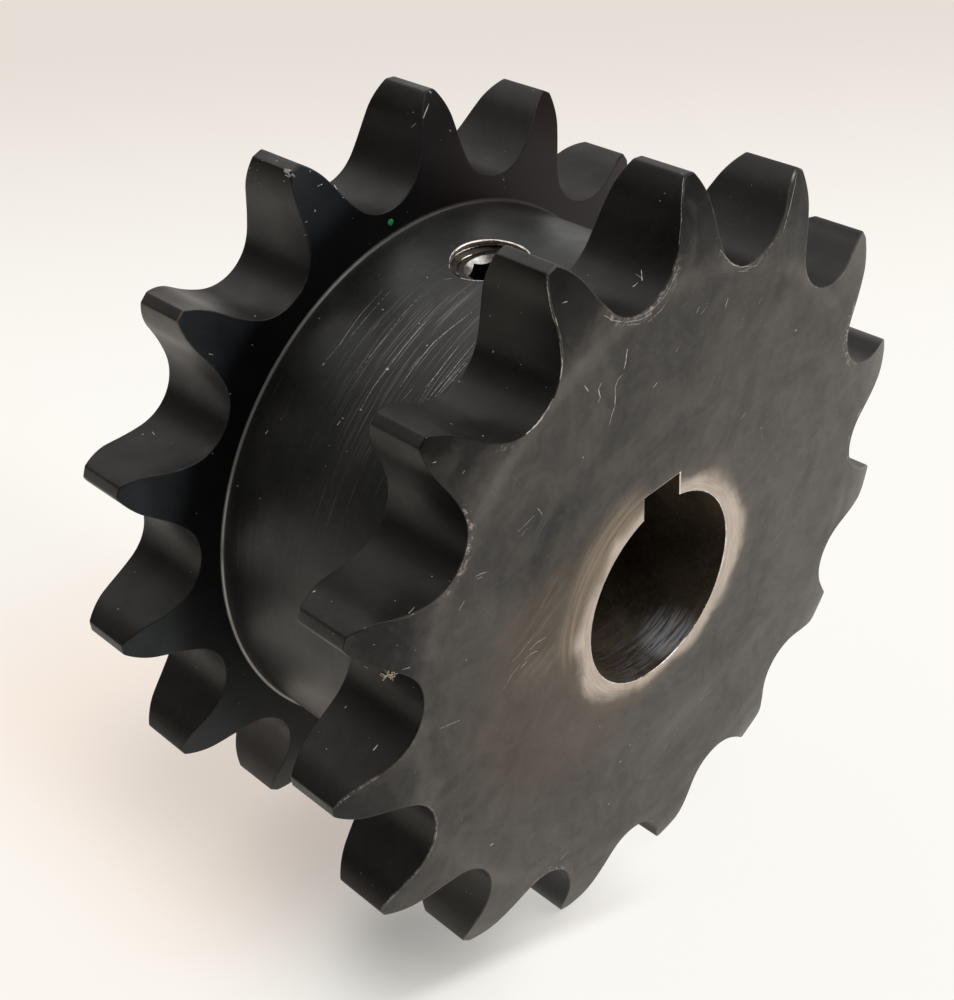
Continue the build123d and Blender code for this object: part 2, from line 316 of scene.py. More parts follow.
class StageSettings(bpy.types.PropertyGroup):
    """Camera, lamps and floor"""

    camera_place: FloatVectorProperty(
        name="Camera place", description="Where the camera stands", size=3, subtype="TRANSLATION",
        unit="LENGTH", default=(-121.72 * MM, -110.04 * MM, 103.02 * MM))
    camera_turn: FloatVectorProperty(
        name="Camera turn", description="How the camera is turned about each axis", size=3, subtype="EULER",
        default=(radians(54.899), radians(-0.512), radians(-44.281)))
    focal_length: FloatProperty(
        name="Focal length", description="In millimetres, on a 36 mm sensor", default=53.496)
    shift_x: FloatProperty(name="Shift across", description="Shift of the picture across", default=0.03834)
    shift_y: FloatProperty(name="Shift up", description="Shift of the picture upwards", default=0.08419)
    floor_colour: colour("Floor colour", "Colour of the floor", (0.92, 0.88, 0.81))
    floor_glow_colour: colour("Glow colour", "Colour of the floor's plain white", (1.0, 0.98, 0.93))
    # Painted falloff of light: the floor's white dims to this far from the camera
    floor_far_falloff: colour("Far floor", "Colour of the floor's plain white far away", (0.8, 0.735, 0.68))
    # Painted shadow colour: the floor's white turns to this where the part's shadow lies, behind it and to
    # its left
    floor_shadow_warmth: colour("Warm floor", "Colour of the floor's plain white behind the part", (1.0, 0.88, 0.79))
    floor_glow: FloatProperty(
        name="Floor glow", description="Share of plain white in what camera and gloss see of the floor",
        default=0.92)
    wall_colour: colour("Wall colour", "Colour of the walls of the room", (1, 0.97, 0.93))
    wall_light: FloatProperty(name="Wall light", description="How bright the walls are", default=0.05)


# ----------------------------------------------------------------------------------------------------------
# Shapes of the body, made in millimetres with the bore along Y


def in_mm(group):
    """The values of a group as plain numbers, with its lengths in millimetres."""
    values = {}
    for name in group.__annotations__:
        value = getattr(group, name)
        values[name] = value / MM if group.bl_rna.properties[name].unit == "LENGTH" else value
    return SimpleNamespace(**values)


def body_sizes():
    """The sizes of the body in millimetres, with those that follow from them."""
    sizes = in_mm(bpy.context.scene.sprocket_sizes)
    sizes.half_turn = pi / sizes.tooth_count
    sizes.pitch_radius = sizes.chain_pitch / 2 / sin(sizes.half_turn)
    sizes.outside_radius = sizes.chain_pitch / 2 * (0.6 + 1 / tan(sizes.half_turn))
    sizes.relief_start = sizes.outside_radius - sizes.relief_height
    sizes.hub_radius = sizes.hub_diameter / 2
    sizes.bore_radius = sizes.bore_diameter / 2
    sizes.side = sizes.rim_thickness / 2
    sizes.half_length = (sizes.strand_spacing + sizes.rim_thickness) / 2
    sizes.inner_face = (sizes.strand_spacing - sizes.rim_thickness) / 2
    sizes.web_radius = sizes.hub_radius + sizes.hub_fillet + 0.3
    sizes.keyway_floor = sqrt(sizes.bore_radius**2 - (sizes.keyway_width / 2) ** 2) + sizes.keyway_side_depth
    return sizes


def arc(centre, radius, start, end, steps):
    """Points on an arc in a plane, after its first."""
    turns = [start + (end - start) * i / steps for i in range(1, steps + 1)]
    return [centre + radius * Vector((cos(turn), sin(turn))) for turn in turns]


def tangent_arc(start, direction, end, steps):
    """Points after the first on the arc that leaves start in a direction and bends to its right up to end."""
    across = Vector((direction.y, -direction.x))
    chord = end - start
    radius = chord.length_squared / (2 * chord.dot(across))
    centre = start + across * radius
    first, last = start - centre, end - centre
    return arc(centre, radius, atan2(first.y, first.x), atan2(last.y, last.x), steps)


def tooth_outline(sizes):
    """Outline from the middle of a roller seat to the middle of the next tip, with the tooth upright."""
    count = sizes.tooth_count
    seat_centre = Vector((0, sizes.pitch_radius))
    seat_radius = (1.005 * sizes.roller_diameter + sizes.seat_allowance) / 2
    seat_half, working = radians(35 + 60 / count), radians(18 - 56 / count)
    lean = seat_half - working
    working_offset, topping_offset = 0.8 * sizes.roller_diameter, 1.4 * sizes.roller_diameter
    working_centre = seat_centre + working_offset * Vector((-cos(seat_half), sin(seat_half)))
    flank_length = topping_offset * sin(radians(17 - 64 / count)) - working_offset * sin(working)
    flank_direction = Vector((sin(lean), cos(lean)))

    points = [seat_centre - Vector((0, seat_radius))]
    points += arc(seat_centre, seat_radius, -pi / 2, -seat_half, SEAT_STEPS)
    points += arc(working_centre, working_offset + seat_radius, -seat_half, -lean, WORKING_STEPS)
    points.append(points[-1] + flank_direction * flank_length)
    tip_bearing = sizes.half_turn - asin(sizes.tip_land / 2 / sizes.outside_radius)
    tip = sizes.outside_radius * Vector((sin(tip_bearing), cos(tip_bearing)))
    middle = sizes.outside_radius * Vector((sin(sizes.half_turn), cos(sizes.half_turn)))
    topping = tangent_arc(points[-1], flank_direction, tip, TOPPING_STEPS)
    back, on = (topping[-2] - tip).normalized(), (middle - tip).normalized()
    rounding = sizes.edge_break
    corner = [tip + back * rounding, tip + (back + on) * rounding / 4, tip + on * rounding]
    points += topping[:-1] + corner + [(corner[-1] + middle) / 2, middle]
    upright = Matrix.Rotation(sizes.half_turn, 2)
    return [upright @ point for point in points]


def inward_normals(outline):
    """Unit normals into the metal at each point of a tooth's outline. Both ends lie on planes of symmetry."""
    normals = [-outline[0].normalized()]
    for before, after in zip(outline[:-2], outline[2:]):
        along = after - before
        normals.append(Vector((along.y, -along.x)).normalized())
    return normals + [-outline[-1].normalized()]


def tooth_anchors(sizes, outline):
    """For each point of the outline, where its strip of faces starts: on the ring, then up the middle."""
    anchors = []
    for i in range(SEAT_STEPS + 1):
        bearing = -sizes.half_turn * (1 - i / SEAT_STEPS)
        anchors.append(sizes.web_radius * Vector((sin(bearing), cos(bearing))))
    flank = outline[SEAT_STEPS:]
    lengths = [0]
    for before, after in zip(flank[:-1], flank[1:]):
        lengths.append(lengths[-1] + (after - before).length)
    top = sizes.outside_radius - sizes.tip_land
    for length in lengths[1:]:
        anchors.append(Vector((0, sizes.web_radius + (top - sizes.web_radius) * length / lengths[-1])))
    return anchors


def side_height(sizes, point):
    """Half thickness of the rim at a point of its side, flat up to the relief and bent away from there."""
    share = max(0, point.length - sizes.relief_start) / sizes.relief_height
    return sizes.side - sizes.relief_depth * share**2


def strip_across(sizes, edge, normal, anchor):
    """Points from the anchor over one side of the rim, round its break and into the tooth's wall.
    Each is a place on the side, its height and its distance from the edge."""
    inner = edge + normal * sizes.edge_break
    points = []
    for share in reversed(SIDE_SHARES):
        place = inner.lerp(anchor, share)
        points.append((place, side_height(sizes, place), (place - inner).length))
    height = side_height(sizes, edge)
    low, corner, high = (edge, height - sizes.edge_break), (edge, height), points[-1]
    for share in reversed(BREAK_SHARES):
        weights = (share**2, 2 * share * (1 - share), (1 - share) ** 2)
        ends = (high, corner, low)
        place = sum((w * e[0] for w, e in zip(weights, ends)), Vector((0, 0)))
        points.append((place, sum(w * e[1] for w, e in zip(weights, ends)), 0))
    return points + [(edge, low[1] - row, row) for row in WALL_ROWS]


def whole(bm):
    """Everything in a bmesh."""
    return list(bm.verts) + list(bm.edges) + list(bm.faces)


def make_rim(bm, sizes):
    """One rim about the middle of its own thickness, open at a ring just outside the hub on both sides."""
    outline = tooth_outline(sizes)
    strips = [
        strip_across(sizes, edge, normal, anchor)
        for edge, normal, anchor in zip(outline, inward_normals(outline), tooth_anchors(sizes, outline))
    ]
    rows, columns = len(strips) - 1, 2 * len(strips[0]) - 1
    nearness = bm.verts.layers.float.new("edge_nearness")
    bmesh.ops.create_grid(bm, x_segments=columns, y_segments=rows, size=0.5)
    for vert in bm.verts:
        column, row = round((vert.co.x + 0.5) * columns), round((vert.co.y + 0.5) * rows)
        strip = strips[row]
        front = column < len(strip)
        place, height, distance = strip[column] if front else strip[columns - column]
        vert.co = (place.x, -height if front else height, place.y)
        vert[nearness] = max(0, 1 - distance / WEAR_REACH)
    bmesh.ops.mirror(bm, geom=whole(bm), axis="X", merge_dist=WELD)
    last_turn = FULL_TURN * (1 - 1 / sizes.tooth_count)
    bmesh.ops.spin(
        bm, geom=whole(bm), axis=(0, 1, 0), cent=(0, 0, 0), angle=last_turn, steps=sizes.tooth_count - 1,
        use_duplicate=True)
    bmesh.ops.remove_doubles(bm, verts=bm.verts, dist=WELD)


def ring_edges(bm, along):
    """Edges of the open ring that lies at a distance along the bore."""
    return [e for e in bm.edges if e.is_boundary and all(abs(v.co.y - along) < WELD for v in e.verts)]


def turn_on(bm, edges, profile):
    """Carries a ring of edges along a turned profile of radius and distance along the bore."""
    for radius, along in profile:
        made = bmesh.ops.extrude_edge_only(bm, edges=edges)["geom"]
        edges = [e for e in made if isinstance(e, bmesh.types.BMEdge) and e.is_boundary]
        for vert in {v for e in edges for v in e.verts}:
            flat = Vector((vert.co.x, 0, vert.co.z)).normalized() * radius
            vert.co = (flat.x, along, flat.z)
    return edges


def make_blank(bm, sizes):
    """Both rims on their hub, closed, with no bore yet."""
    make_rim(bm, sizes)
    bmesh.ops.translate(bm, verts=bm.verts, vec=(0, -sizes.strand_spacing / 2, 0))
    corner = Vector((sizes.hub_radius + sizes.hub_fillet, -sizes.inner_face + sizes.hub_fillet))
    profile = [tuple(corner + Vector((0, -sizes.hub_fillet)))]
    profile += [tuple(point) for point in arc(corner, sizes.hub_fillet, -pi / 2, -pi, FILLET_STEPS)]
    profile += [(sizes.hub_radius, share * profile[-1][1]) for share in (0.75, 0.5, 0.25, 0)]
    turn_on(bm, ring_edges(bm, -sizes.inner_face), profile)
    inside = ((sizes.web_radius + sizes.bore_radius) / 2, -sizes.half_length)
    ends = turn_on(bm, ring_edges(bm, -sizes.half_length), [inside])
    bmesh.ops.edgeloop_fill(bm, edges=ends)
    bmesh.ops.mirror(bm, geom=whole(bm), axis="Y", merge_dist=WELD)
    bmesh.ops.recalc_face_normals(bm, faces=bm.faces)


def made_object(bm, name):
    """A new object from a bmesh, which is freed. It sits at the origin, with its place in its mesh."""
    mesh = bpy.data.meshes.new(name)
    bm.to_mesh(mesh)
    bm.free()
    made = bpy.data.objects.new(name, mesh)
    bpy.context.scene.collection.objects.link(made)
    return made


def combine(piece, tool, operation):
    """Cuts a piece with a tool, or keeps only what both share, and removes the tool."""
    modifier = piece.modifiers.new("combine", "BOOLEAN")
    modifier.object, modifier.operation, modifier.solver = tool, operation, "EXACT"
    result = bpy.data.meshes.new_from_object(piece.evaluated_get(bpy.context.evaluated_depsgraph_get()))
    piece.modifiers.clear()
    before, piece.data = piece.data, result
    bpy.data.meshes.remove(before)
    bpy.data.meshes.remove(tool.data)


def to_metres(piece):
    """Brings a piece made in millimetres to its real size."""
    piece.data.transform(Matrix.Scale(MM, 4))
    return piece


def keyed_bore(sizes):
    """A cutter for the bore and its keyway, longer than the hub."""
    bm = bmesh.new()
    edge_turn = asin(sizes.keyway_width / 2 / sizes.bore_radius)
    first, last = pi / 2 + edge_turn, pi / 2 + FULL_TURN - edge_turn
    round_part = arc(Vector((0, 0)), sizes.bore_radius, first, last, BORE_STEPS)
    corners = [Vector((side * sizes.keyway_width / 2, sizes.keyway_floor)) for side in (1, -1)]
    start = Vector((-sin(edge_turn), cos(edge_turn))) * sizes.bore_radius
    reach = sizes.half_length + CUT_PAST
    face = bm.faces.new([bm.verts.new((p.x, -reach, p.y)) for p in [start, *round_part, *corners]])
    made = bmesh.ops.extrude_face_region(bm, geom=[face])["geom"]
    far_end = [v for v in made if isinstance(v, bmesh.types.BMVert)]
    bmesh.ops.translate(bm, verts=far_end, vec=(0, 2 * reach, 0))
    bmesh.ops.rotate(bm, verts=bm.verts, matrix=Matrix.Rotation(-sizes.keyway_turn, 3, "Y"))
    bmesh.ops.recalc_face_normals(bm, faces=bm.faces)
    return made_object(bm, "keyed_bore")


def hole_frame(turn, radius):
    """Matrix that takes an upright shape to a radius of the hub, at a turn anticlockwise from up."""
    out = Vector((-sin(turn), 0, cos(turn)))
    along = Vector((0, 1, 0))
    turned = Matrix((along, out.cross(along), out)).transposed()
    return Matrix.Translation(out * radius) @ turned.to_4x4()


def threaded_rod(screws, gap, bottom, top):
    """A closed upright rod with a true helical thread, its surface held back by a gap."""
    pitch = screws.thread_pitch
    crest = screws.thread_diameter / 2 - gap
    root = crest - 5 / 8 * sqrt(3) / 2 * pitch
    bm = bmesh.new()
    profile = ((root, 0), (root, pitch / 4), (crest, pitch * 9 / 16), (crest, pitch * 11 / 16), (root, pitch))
    turns = int((top - bottom) / pitch) + 3
    start = pitch * int(bottom / pitch - 2)
    verts = [bm.verts.new((radius, 0, start + height)) for radius, height in profile]
    edges = [bm.edges.new(pair) for pair in zip(verts[:-1], verts[1:])]
    bmesh.ops.spin(
        bm, geom=verts + edges, cent=(0, 0, 0), axis=(0, 0, 1), dvec=(0, 0, pitch / THREAD_STEPS),
        angle=FULL_TURN * turns, steps=THREAD_STEPS * turns)
    bmesh.ops.remove_doubles(bm, verts=bm.verts, dist=WELD)
    for height, way in ((bottom, -1), (top, 1)):
        cut = bmesh.ops.bisect_plane(
            bm, geom=whole(bm), plane_co=(0, 0, height),
            plane_no=(0, 0, way), clear_outer=True)["geom_cut"]
        bmesh.ops.edgeloop_fill(bm, edges=[e for e in cut if isinstance(e, bmesh.types.BMEdge)])
    bmesh.ops.recalc_face_normals(bm, faces=bm.faces)
    return bm


def turned_solid(profile, steps=THREAD_STEPS):
    """A solid turned about the upright axis, from a profile of radius and height whose ends lie on it."""
    bm = bmesh.new()
    verts = [bm.verts.new((radius, 0, height)) for radius, height in profile]
    edges = [bm.edges.new(pair) for pair in zip(verts[:-1], verts[1:])]
    bmesh.ops.spin(
        bm, geom=verts + edges, cent=(0, 0, 0), axis=(0, 0, 1), angle=FULL_TURN, steps=steps, use_merge=True)
    bmesh.ops.remove_doubles(bm, verts=bm.verts, dist=WELD)
    bmesh.ops.recalc_face_normals(bm, faces=bm.faces)
    return bm


def screw_turns(sizes, screws):
    """Where each set screw lies, anticlockwise from up."""
    return {
        "keyway_set_screw": sizes.keyway_turn + screws.keyway_screw_turn,
        "side_set_screw": sizes.keyway_turn + screws.side_screw_turn,
    }


def drill_tapped_hole(body, sizes, screws, turn):
    """Cuts a threaded hole with a flared mouth through the hub."""
    placed = hole_frame(turn, sizes.hub_radius)
    above = screws.mouth_radius / 2
    thread = threaded_rod(screws, 0, -sizes.hub_radius + sizes.bore_radius / 2, above)
    flare = turned_solid([(0, -screws.mouth_radius), (screws.mouth_radius + above, above), (0, above)])
    for bm, name in ((thread, "thread_cutter"), (flare, "flare_cutter")):
        bmesh.ops.transform(bm, matrix=placed, verts=bm.verts)
        combine(body, made_object(bm, name), "DIFFERENCE")


def smooth_with_edges(piece):
    """Smooth shading that keeps true edges crisp and flat faces flat."""
    piece.data.shade_smooth()
    piece.data.set_sharp_from_angle(angle=SHARP_ANGLE)
    weighted = piece.modifiers.new("weighted normals", "WEIGHTED_NORMAL")
    weighted.keep_sharp = True


def finish_screw(screw, sizes, screws, turn):
    """Gives the faces of a screw their finishes: the socket black as painted shade, and its flare worn
    bright.
    """
    out = Vector((-sin(turn), 0, cos(turn)))
    top = sizes.hub_radius - screws.recess
    for name, finish in (("screw_oxide", screw_finish), ("socket_oxide_and_shade", socket_finish),
                         ("worn_socket_flare", socket_flare_finish)):
        screw.data.materials.append(bpy.data.materials.get(name) or finish())
    for face in screw.data.polygons:
        place = Vector(face.center) / MM
        height = place.dot(out)
        radius = (place - out * height).length
        lean = Vector(face.normal).dot(out)
        if height > top - screws.socket_depth - 1 and radius < screws.socket_flare - 0.02:
            face.material_index = 2 if FLARE_LEAN[0] < lean < FLARE_LEAN[1] else 1


def set_screw(sizes, screws, turn, name):
    """One set screw, threaded, with a chamfered top, a flared hexagon socket and a cup point."""
    crest = screws.thread_diameter / 2 - screws.thread_gap
    cup = screws.cup_diameter / 2
    blank = turned_solid([
        (0, 0),
        (crest - screws.top_chamfer, 0),
        (crest + 1, -screws.top_chamfer - 1),
        (crest + 1, cup - crest - 1 - screws.screw_length),
        (cup, -screws.screw_length),
        (0, cup / tan(screws.cup_angle / 2) - screws.screw_length),
    ])
    above = 1
    bottom, top = -screws.screw_length - above, above
    thread = threaded_rod(screws, screws.thread_gap, bottom - screws.recess, top - screws.recess)
    bmesh.ops.translate(thread, verts=thread.verts, vec=(0, 0, screws.recess))
    screw = made_object(thread, name)
    combine(screw, made_object(blank, "screw_blank"), "INTERSECT")
    hexagon = bmesh.new()
    corner_radius = screws.socket_width / 2 / cos(radians(30))
    middle = Matrix.Translation((0, 0, (above - screws.socket_depth) / 2))
    bmesh.ops.create_cone(
        hexagon, cap_ends=True, segments=6, radius1=corner_radius, radius2=corner_radius,
        depth=screws.socket_depth + above, matrix=middle @ Matrix.Rotation(SOCKET_TURN, 4, "Z"))
    combine(screw, made_object(hexagon, "socket_cutter"), "DIFFERENCE")
    flare = turned_solid([(0, -screws.socket_flare), (screws.socket_flare + above, above), (0, above)])
    combine(screw, made_object(flare, "socket_flare_cutter"), "DIFFERENCE")
    screw.data.transform(hole_frame(turn, sizes.hub_radius - screws.recess))
    to_metres(screw)
    finish_screw(screw, sizes, screws, turn)
    smooth_with_edges(screw)
    return screw


# ----------------------------------------------------------------------------------------------------------
# Marks: scratches, burrs, a dot of paint and a tuft of lint, all resting on the body


def strands(name, lines):
    """Fine round strands, each a list of places and radii in millimetres, as one object in metres."""
    curve = bpy.data.curves.new(name, "CURVE")
    curve.dimensions, curve.bevel_depth, curve.bevel_resolution, curve.use_fill_caps = "3D", 1.0, 1, True
    for line in lines:
        spline = curve.splines.new("POLY")
        spline.points.add(len(line) - 1)
        for point, (place, radius) in zip(spline.points, line):
            point.co, point.radius = (*place, 1), radius
    holder = bpy.data.objects.new(name, curve)
    bpy.context.scene.collection.objects.link(holder)
    mesh = bpy.data.meshes.new_from_object(holder.evaluated_get(bpy.context.evaluated_depsgraph_get()))
    bpy.data.objects.remove(holder)
    bpy.data.curves.remove(curve)
    bm = bmesh.new()
    bm.from_mesh(mesh)
    bpy.data.meshes.remove(mesh)
    bmesh.ops.remove_doubles(bm, verts=bm.verts, dist=WELD / 4)
    bmesh.ops.recalc_face_normals(bm, faces=bm.faces)
    return to_metres(made_object(bm, name))


def resting(body, width, places):
    """A strand along a surface, sunk so far that a mark of the given width is left, thin at its ends."""
    path = [Vector(places[0])]
    for start, end in zip(places, places[1:]):
        start, end = Vector(start), Vector(end)
        steps = max(1, ceil((end - start).length / MARK_STEP))
        path += [start.lerp(end, step / steps) for step in range(1, steps + 1)]
    line = []
    for number, place in enumerate(path):
        spot, normal, _, _ = body.find_nearest(place * MM)
        radius = width / MARK_SHARE * (0.4 + 0.6 * sin(pi * (number + 0.5) / len(path)))
        line.append((spot / MM - normal * radius * MARK_DEPTH, radius))
    return line


def marks_on(body, sizes):
    """All the scratches and burrs as one object."""
    on_face = [(width, *[(x, -sizes.half_length, z) for x, z in places]) for width, *places in FACE_MARKS]
    lines = [resting(body, width, places) for width, *places in (*on_face, *HUB_MARKS, *BURRS)]
    marks = strands("surface_marks", lines)
    marks.data.materials.append(scratch_finish())
    return marks


def paint_dot():
    """A flat dot of green paint on the inner side of the rear rim."""
    place, radius = PAINT_DOT
    bm = bmesh.new()
    bmesh.ops.create_uvsphere(bm, u_segments=20, v_segments=10, radius=radius)
    bmesh.ops.scale(bm, verts=bm.verts, vec=DOT_SHARES)
    bmesh.ops.translate(bm, verts=bm.verts, vec=place)
    dot = to_metres(made_object(bm, "paint_dot"))
    paint = speckled_finish("green_paint", 2500, GREEN_PAINT, GREEN_PAINT_BRIGHT, (0.4, 0.6), 0.02)
    dot.data.materials.append(paint)
    return dot


def lint():
    """A small tangle of curled strands that starts on an edge."""
    chance = Random(LINT_SEED)
    (x, y, z), reach = LINT
    lines = []
    for _ in range(LINT_STRANDS):
        spread = Vector([chance.uniform(-LINT_SPREAD, LINT_SPREAD) for _ in range(3)])
        place = Vector((x, y, z)) + spread * reach
        way = Vector([chance.uniform(low, high) for low, high in LINT_WAYS]).normalized()
        line = []
        for step in range(LINT_STEPS):
            line.append((place.copy(), LINT_RADIUS - LINT_TAPER * step))
            way = (way + Vector([chance.uniform(-LINT_CURL, LINT_CURL) for _ in range(3)])).normalized()
            place += way * reach * LINT_STEP
        lines.append(line)
    tuft = strands("lint", lines)
    fibre = speckled_finish("pale_fibre", 2200, FIBRE_DULL, FIBRE_PALE, (0.6, 0.85), 0.01)
    tuft.data.materials.append(fibre)
    return tuft


# ----------------------------------------------------------------------------------------------------------
# Finishes. Every pattern follows Object coordinates, in metres.


class Finish:
    """A material that is built node by node, called f where that is done. Most methods give back the socket
    that they end in."""

    def __init__(self, name, tint=(1, 1, 1), specular=0.5):
        self.material = bpy.data.materials.new(name)
        self.material.use_nodes = True
        self.tree = self.material.node_tree
        self.surface = self.tree.nodes["Principled BSDF"]
        self.tones = bpy.context.scene.finish_colours
        self.surface.inputs["Specular Tint"].default_value = (*tint, 1)
        self.surface.inputs["Specular IOR Level"].default_value = specular
        self.place = self.add("TexCoord").outputs["Object"]

    def add(self, kind, inputs=None, **settings):
        made = self.tree.nodes.new("ShaderNode" + kind)
        for name, value in settings.items():
            setattr(made, name, value)
        for key, value in (inputs or {}).items():
            self.put(made.inputs[key], value)
        return made

    def put(self, socket, value):
        if isinstance(value, bpy.types.NodeSocket):
            self.tree.links.new(value, socket)
        else:
            socket.default_value = value

    def maths(self, operation, first, second=0.0):
        return self.add("Math", {0: first, 1: second}, operation=operation).outputs[0]

    def times(self, first, *others):
        for other in others:
            first = self.maths("MULTIPLY", first, other)
        return first

    def plus(self, first, second):
        return self.maths("ADD", first, second)

    def most(self, first, *others):
        for other in others:
            first = self.maths("MAXIMUM", first, other)
        return first

    def rest(self, share):
        return self.maths("SUBTRACT", 1.0, share)

    def vector(self, operation, first, second=(0, 0, 0)):
        """A vector, or the number that the operation gives."""
        made = self.add("VectorMath", {0: first, 1: second}, operation=operation)
        return made.outputs["Value" if operation in ("LENGTH", "DISTANCE", "DOT_PRODUCT") else "Vector"]

    def ramp(self, value, low, high, to_low=0.0, to_high=1.0):
        """A smooth step from one value to another."""
        inputs = {"Value": value, "From Min": low, "From Max": high, "To Min": to_low, "To Max": to_high}
        return self.add("MapRange", inputs, interpolation_type="SMOOTHSTEP").outputs[0]

    def span(self, value, low, high, to_low=0.0, to_high=1.0):
        """A smooth step between two lengths in millimetres."""
        return self.ramp(value, low * MM, high * MM, to_low, to_high)

    def blend(self, share, first, second):
        """A colour between two."""
        return self.add("Mix", {0: share, 6: first, 7: second}, data_type="RGBA").outputs[2]

    def stretched(self, scale, turn=0.0):
        """Coordinates with a scale for each axis, after a turn about the bore, to draw out streaks."""
        inputs = {"Vector": self.place, "Scale": [1 / value for value in scale], "Rotation": (0, turn, 0)}
        return self.add("Mapping", inputs, vector_type="TEXTURE").outputs[0]

    def turned(self, along, across):
        """Coordinates that draw a pattern out into rings about the bore, on a flat end face."""
        parts = {"X": self.along(0, along), "Y": self.times(self.radius(), across), "Z": self.along(2, along)}
        return self.add("CombineXYZ", parts).outputs[0]

    def noise(self, scale, detail=2.0, roughness=0.5, place=None, distortion=0.0):
        inputs = {"Vector": place or self.place, "Scale": scale, "Detail": detail, "Roughness": roughness,
                  "Distortion": distortion}
        return self.add("TexNoise", inputs).outputs[0]

    def streaks(self, place, detail=3, roughness=0.6, distortion=0.0):
        """Noise in coordinates that already have their scale."""
        return self.noise(1.0, detail, roughness, place, distortion)

    def along(self, axis, scale=1.0):
        """One of the coordinates, times a scale."""
        return self.times(self.add("SeparateXYZ", {0: self.place}).outputs[axis], scale)

    def radius(self):
        """Distance from the axis of the bore."""
        return self.vector("LENGTH", self.vector("MULTIPLY", self.place, (1, 0, 1)))

    def near(self, point, reach, soft):
        """1 near a point, and 0 beyond a reach with a soft border, all in millimetres."""
        away = self.vector("DISTANCE", self.place, [value * MM for value in point])
        return self.span(away, reach, reach + soft, 1.0, 0.0)

    def specks(self, size, spacing, share):
        """Small round specks: one in a share of the cells of a given spacing, in millimetres."""
        cells = self.add("TexVoronoi", {"Vector": self.place, "Scale": 1 / (spacing * MM), "Randomness": 1.0})
        spot = self.ramp(cells.outputs["Distance"], size / spacing * 0.6, size / spacing, 1.0, 0.0)
        chance = self.add("SeparateColor", {0: cells.outputs["Color"]}).outputs[0]
        return self.times(spot, self.maths("LESS_THAN", chance, share))

    def lay_oxide(self, dark=None, pale=None):
        """Starts with black oxide, cloudy, and gives back its fine grain."""
        dark, pale = dark or self.tones.oxide_dark, pale or self.tones.oxide_pale
        cloud = self.ramp(self.noise(85, 5, 0.62, distortion=0.8), 0.34, 0.68)
        grain = self.noise(1700, 3, 0.6)
        colour = self.blend(cloud, rgba(dark), rgba(pale))
        self.colour = self.blend(self.ramp(grain, 0.42, 0.85, 0, 0.35), colour, rgba(pale, 1.8))
        self.roughness = self.ramp(self.noise(230, 4, 0.6), 0.3, 0.7, 0.38, 0.46)
        return grain

    def lay(self, share, colour, roughness):
        """Lays a colour and a roughness over those so far, where a mask says so."""
        self.colour = self.blend(share, self.colour, rgba(colour))
        self.roughness = self.plus(self.times(self.roughness, self.rest(share)), self.times(share, roughness))

    def lay_worn(self, share):
        self.lay(share, self.tones.worn_steel, 0.35)

    def to_edge(self):
        """1 at the edges of the teeth, and 0 where their wear ends."""
        return self.add("Attribute", attribute_name="edge_nearness").outputs["Fac"]

    def edge_wear(self):
        """A faint line along the edges, brighter here and there and towards the front."""
        edge = self.times(self.ramp(self.to_edge(), 0.95, 1.0), self.span(self.along(1), -22, -19, 1.0, 0.12))
        fine = self.ramp(self.noise(900, 3, 0.65), 0.42, 0.6, 0.05, 0.6)
        bright = self.times(self.ramp(self.noise(150, 3, 0.6), 0.5, 0.66), fine)
        faint = self.ramp(self.noise(75, 3, 0.6), 0.38, 0.62, 0.0, 0.14)
        return self.times(edge, self.most(bright, faint))

    def done(self, metallic, relief, depth, dust=0.0):
        """Joins the patterns to the surface. The relief runs from 0 to 1 over a depth in millimetres."""
        if dust:
            specks = self.most(self.specks(0.12, 2.4, dust), self.specks(0.07, 1.2, dust))
            self.colour = self.blend(specks, self.colour, rgba(self.tones.dust))
        looks = {"Base Color": self.colour, "Roughness": self.roughness, "Metallic": metallic}
        for key, value in looks.items():
            self.put(self.surface.inputs[key], value)
        bump = self.add("Bump", {"Strength": 1.0, "Distance": depth * MM, "Height": relief})
        self.put(self.surface.inputs["Normal"], bump.outputs[0])
        return self.material


def rgba(colour, share=1.0):
    """A share of a colour, opaque."""
    return (*[value * share for value in colour], 1)


def teeth_finish():
    f = Finish("tooth_oxide", tint=(1.0, 0.91, 0.83), specular=0.28)
    grain = f.lay_oxide()
    # Painted reflection: a pale haze laid on the flanks of the rear rim's upper left teeth, which stands for
    # the bright floor they reflect
    film = f.times(f.near((-41, 16, 33.5), 4, 10), f.ramp(f.noise(150, 3), 0.3, 0.7, 0.2, 0.35))
    f.lay(film, f.tones.haze, 0.45)
    bare = f.edge_wear()
    f.lay_worn(bare)
    relief = f.plus(f.times(f.noise(420, 3, 0.5), 0.7), f.times(grain, 0.3))
    return f.done(bare, relief, 0.008, dust=0.2)


def tip_lands_finish():
    f = Finish("tip_land_oxide", tint=(1.0, 0.95, 0.9), specular=0.34)
    f.lay_oxide(f.tones.oxide_pale, (0.035, 0.031, 0.028))
    lines = f.streaks(f.stretched((4200, 120, 4200)))
    rubbed = f.times(f.ramp(lines, 0.58, 0.75), f.ramp(f.noise(70, 2), 0.5, 0.65, 0, 0.35))
    bare = f.most(f.edge_wear(), rubbed)
    f.lay_worn(bare)
    return f.done(bare, lines, 0.01, dust=0.1)


